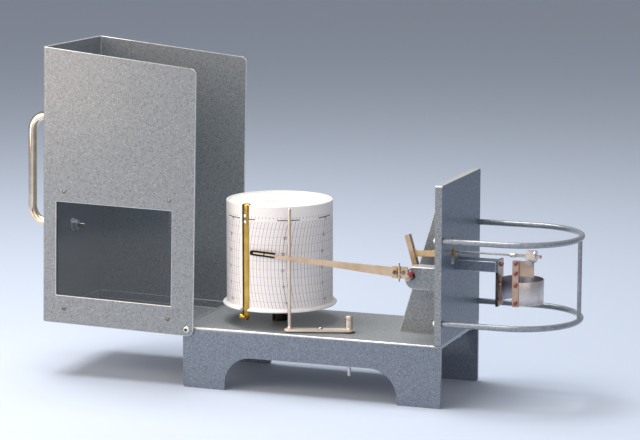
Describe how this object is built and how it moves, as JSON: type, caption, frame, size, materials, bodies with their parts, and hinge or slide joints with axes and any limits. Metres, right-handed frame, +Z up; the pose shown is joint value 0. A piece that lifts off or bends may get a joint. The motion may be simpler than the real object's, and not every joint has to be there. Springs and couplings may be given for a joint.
{
  "type": "recording thermograph",
  "caption": "Bimetal drum recorder with its hinged cover open: clockwork chart drum, long pen on a gate hinge, pen lifter, lever and link to a bimetal ring inside a rod guard",
  "frame": {"origin": "bottom centre of the box round the whole instrument with its cover open, on the table", "axes": "+X along the base from the cover hinge to the guard, +Y from the front to the back, +Z up"},
  "size_m": [0.5176, 0.12, 0.2937],
  "materials": {
    "hammer": "grey-blue hammertone paint",
    "steel": "turned steel",
    "bright": "bright chrome plate",
    "nickel": "nickelled brass",
    "brass": "polished brass",
    "bimetal": "rolled bimetal strip",
    "lacquer": "brass under red locking lacquer",
    "white": "white enamel",
    "paper": "printed chart paper",
    "pane": "clear pane",
    "nib": "inked black pen"
  },
  "bodies": {
    "base": {"base_channel": "hammer", "end_plate": "hammer", "plate_screws": "steel", "gusset": "hammer", "bearing_block": "hammer", "bearing_bushes": "brass", "guard_upper_hoop": "hammer", "guard_lower_hoop": "hammer", "guard_upright": "hammer", "guard_screws": "bright", "hinge_lugs": "hammer", "hinge_screws": "bright", "drum_spindle": "steel", "centre_gear": "steel", "spindle_nut": "steel", "lifter_bush": "brass", "lifter_guide_screw": "nickel", "sensor_arm": "hammer", "sensor_plate": "nickel", "sensor_screws": "lacquer", "bimetal_ring": "bimetal"},
    "cover": {"cover_shell": "hammer", "cover_end_panel": "hammer", "window_pane": "pane", "window_screws": "steel", "carry_handle": "bright", "handle_nuts": "bright"},
    "drum": {"drum_shell": "white", "drum_flange": "white", "drum_lid": "white", "chart_paper": "paper", "drum_sleeve": "steel", "clock_case": "brass", "clock_plates": "brass", "mainspring_barrel": "brass"},
    "pinion": {"drive_pinion": "steel"},
    "clip": {"chart_clip": "brass"},
    "pen_gear": {"pen_shaft": "steel", "rear_lever": "nickel", "link_pin": "steel", "gate_bracket": "nickel", "gate_pin": "steel", "bracket_screw": "brass", "hub_lock_screw": "lacquer"},
    "pen": {"pen_arm": "nickel", "arm_leaf": "nickel", "arm_screw": "brass", "pen_nib": "nib"},
    "link": {"link_bar": "nickel", "adjusting_screw": "nickel", "lock_nut": "nickel", "clamp_block": "nickel", "clamp_screw": "steel", "free_end_plate": "nickel", "free_end_strip": "nickel", "free_end_screws": "lacquer"},
    "lifter": {"lifter_lever": "nickel", "lifter_rod": "nickel", "lifter_knob": "nickel", "lifter_shaft": "steel"}
  },
  "joints": [
    {"name": "cover_hinge", "type": "hinge", "parent": "base", "child": "cover", "pos_m": [-0.07825, 0, 0.0516], "axis": [0, 1, 0], "range_deg": [0, 88.7]},
    {"name": "drum_turn", "type": "hinge", "parent": "base", "child": "drum", "pos_m": [-0.01365, 0, 0.115], "axis": [0, 0, 1], "continuous": true},
    {"name": "pinion_turn", "type": "hinge", "parent": "drum", "child": "pinion", "pos_m": [-0.00885, 0.00831, 0.08], "axis": [0, 0, 1], "continuous": true},
    {"name": "clip_slide", "type": "slide", "parent": "drum", "child": "clip", "axis": [0, 0, 1], "range_m": [0, 0.018]},
    {"name": "pen_swing", "type": "hinge", "parent": "base", "child": "pen_gear", "pos_m": [0.12185, -0.0377, 0.1096], "axis": [0, 1, 0], "range_deg": [-13, 9.5]},
    {"name": "gate_swing", "type": "hinge", "parent": "pen_gear", "child": "pen", "pos_m": [0.11405, -0.0513, 0.1137], "axis": [0, 0, 1], "range_deg": [0, 2]},
    {"name": "link_slide", "type": "slide", "parent": "base", "child": "link", "axis": [1, 0, 0], "range_m": [-0.004, 0.003], "deforming": ["bimetal_ring"]},
    {"name": "lifter_swing", "type": "hinge", "parent": "base", "child": "lifter", "pos_m": [0.06209, -0.03069, 0.056], "axis": [0, 0, 1], "range_deg": [0, 4.2]}
  ],
  "couplings": [
    {"joint": "pinion_turn", "follows": "drum_turn", "ratio": 1.6667},
    {"joint": "link_slide", "follows": "pen_swing", "m_per_rad": 0.0162},
    {"joint": "gate_swing", "follows": "lifter_swing", "ratio": 0.45}
  ]
}
